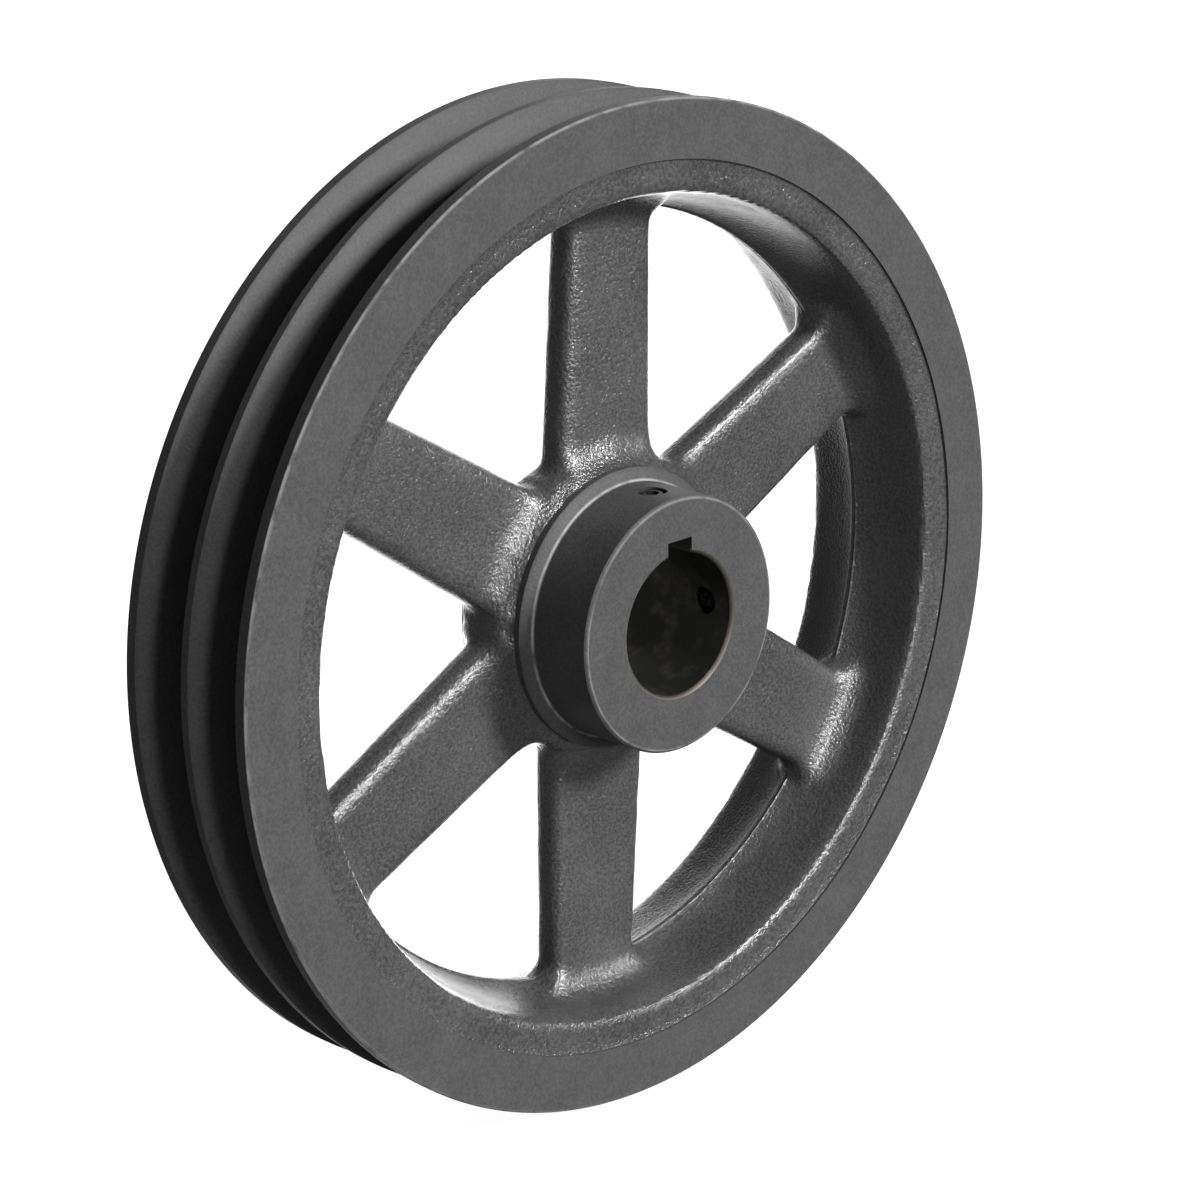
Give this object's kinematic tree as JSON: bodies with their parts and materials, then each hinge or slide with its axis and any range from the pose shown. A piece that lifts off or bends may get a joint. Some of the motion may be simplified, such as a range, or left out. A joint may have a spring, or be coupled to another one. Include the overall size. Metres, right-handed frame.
{
  "type": "v-belt sheave",
  "caption": "Cast iron V-belt sheave with paired belt grooves, spoked centre, keyed finished bore in an offset hub, and socket set screws.",
  "frame": {"origin": "centre of the bore, in the middle plane of the rim", "axes": "Y is the shaft axis with the long side of the hub towards -Y; +Z points from the shaft to the keyway and its set screw; +X points to the side set screw"},
  "size_m": [0.2476, 0.0524, 0.2476],
  "materials": {
    "painted_iron": "dark grey paint, satin on machined faces and pebbled on cast ones",
    "set_screw_steel": "black oxide, bright on worn edges"
  },
  "bodies": {
    "sheave": {"sheave_casting": "painted_iron"},
    "keyway_screw": {"keyway_set_screw": "set_screw_steel"},
    "side_screw": {"side_set_screw": "set_screw_steel"}
  },
  "joints": [
    {"name": "keyway_screw_travel", "type": "slide", "parent": "sheave", "child": "keyway_screw", "axis": [0, 0, 1], "range_m": [-0.0006, 0.0105]},
    {"name": "side_screw_travel", "type": "slide", "parent": "sheave", "child": "side_screw", "axis": [1, 0, 0], "range_m": [-0.0004, 0.014]}
  ]
}
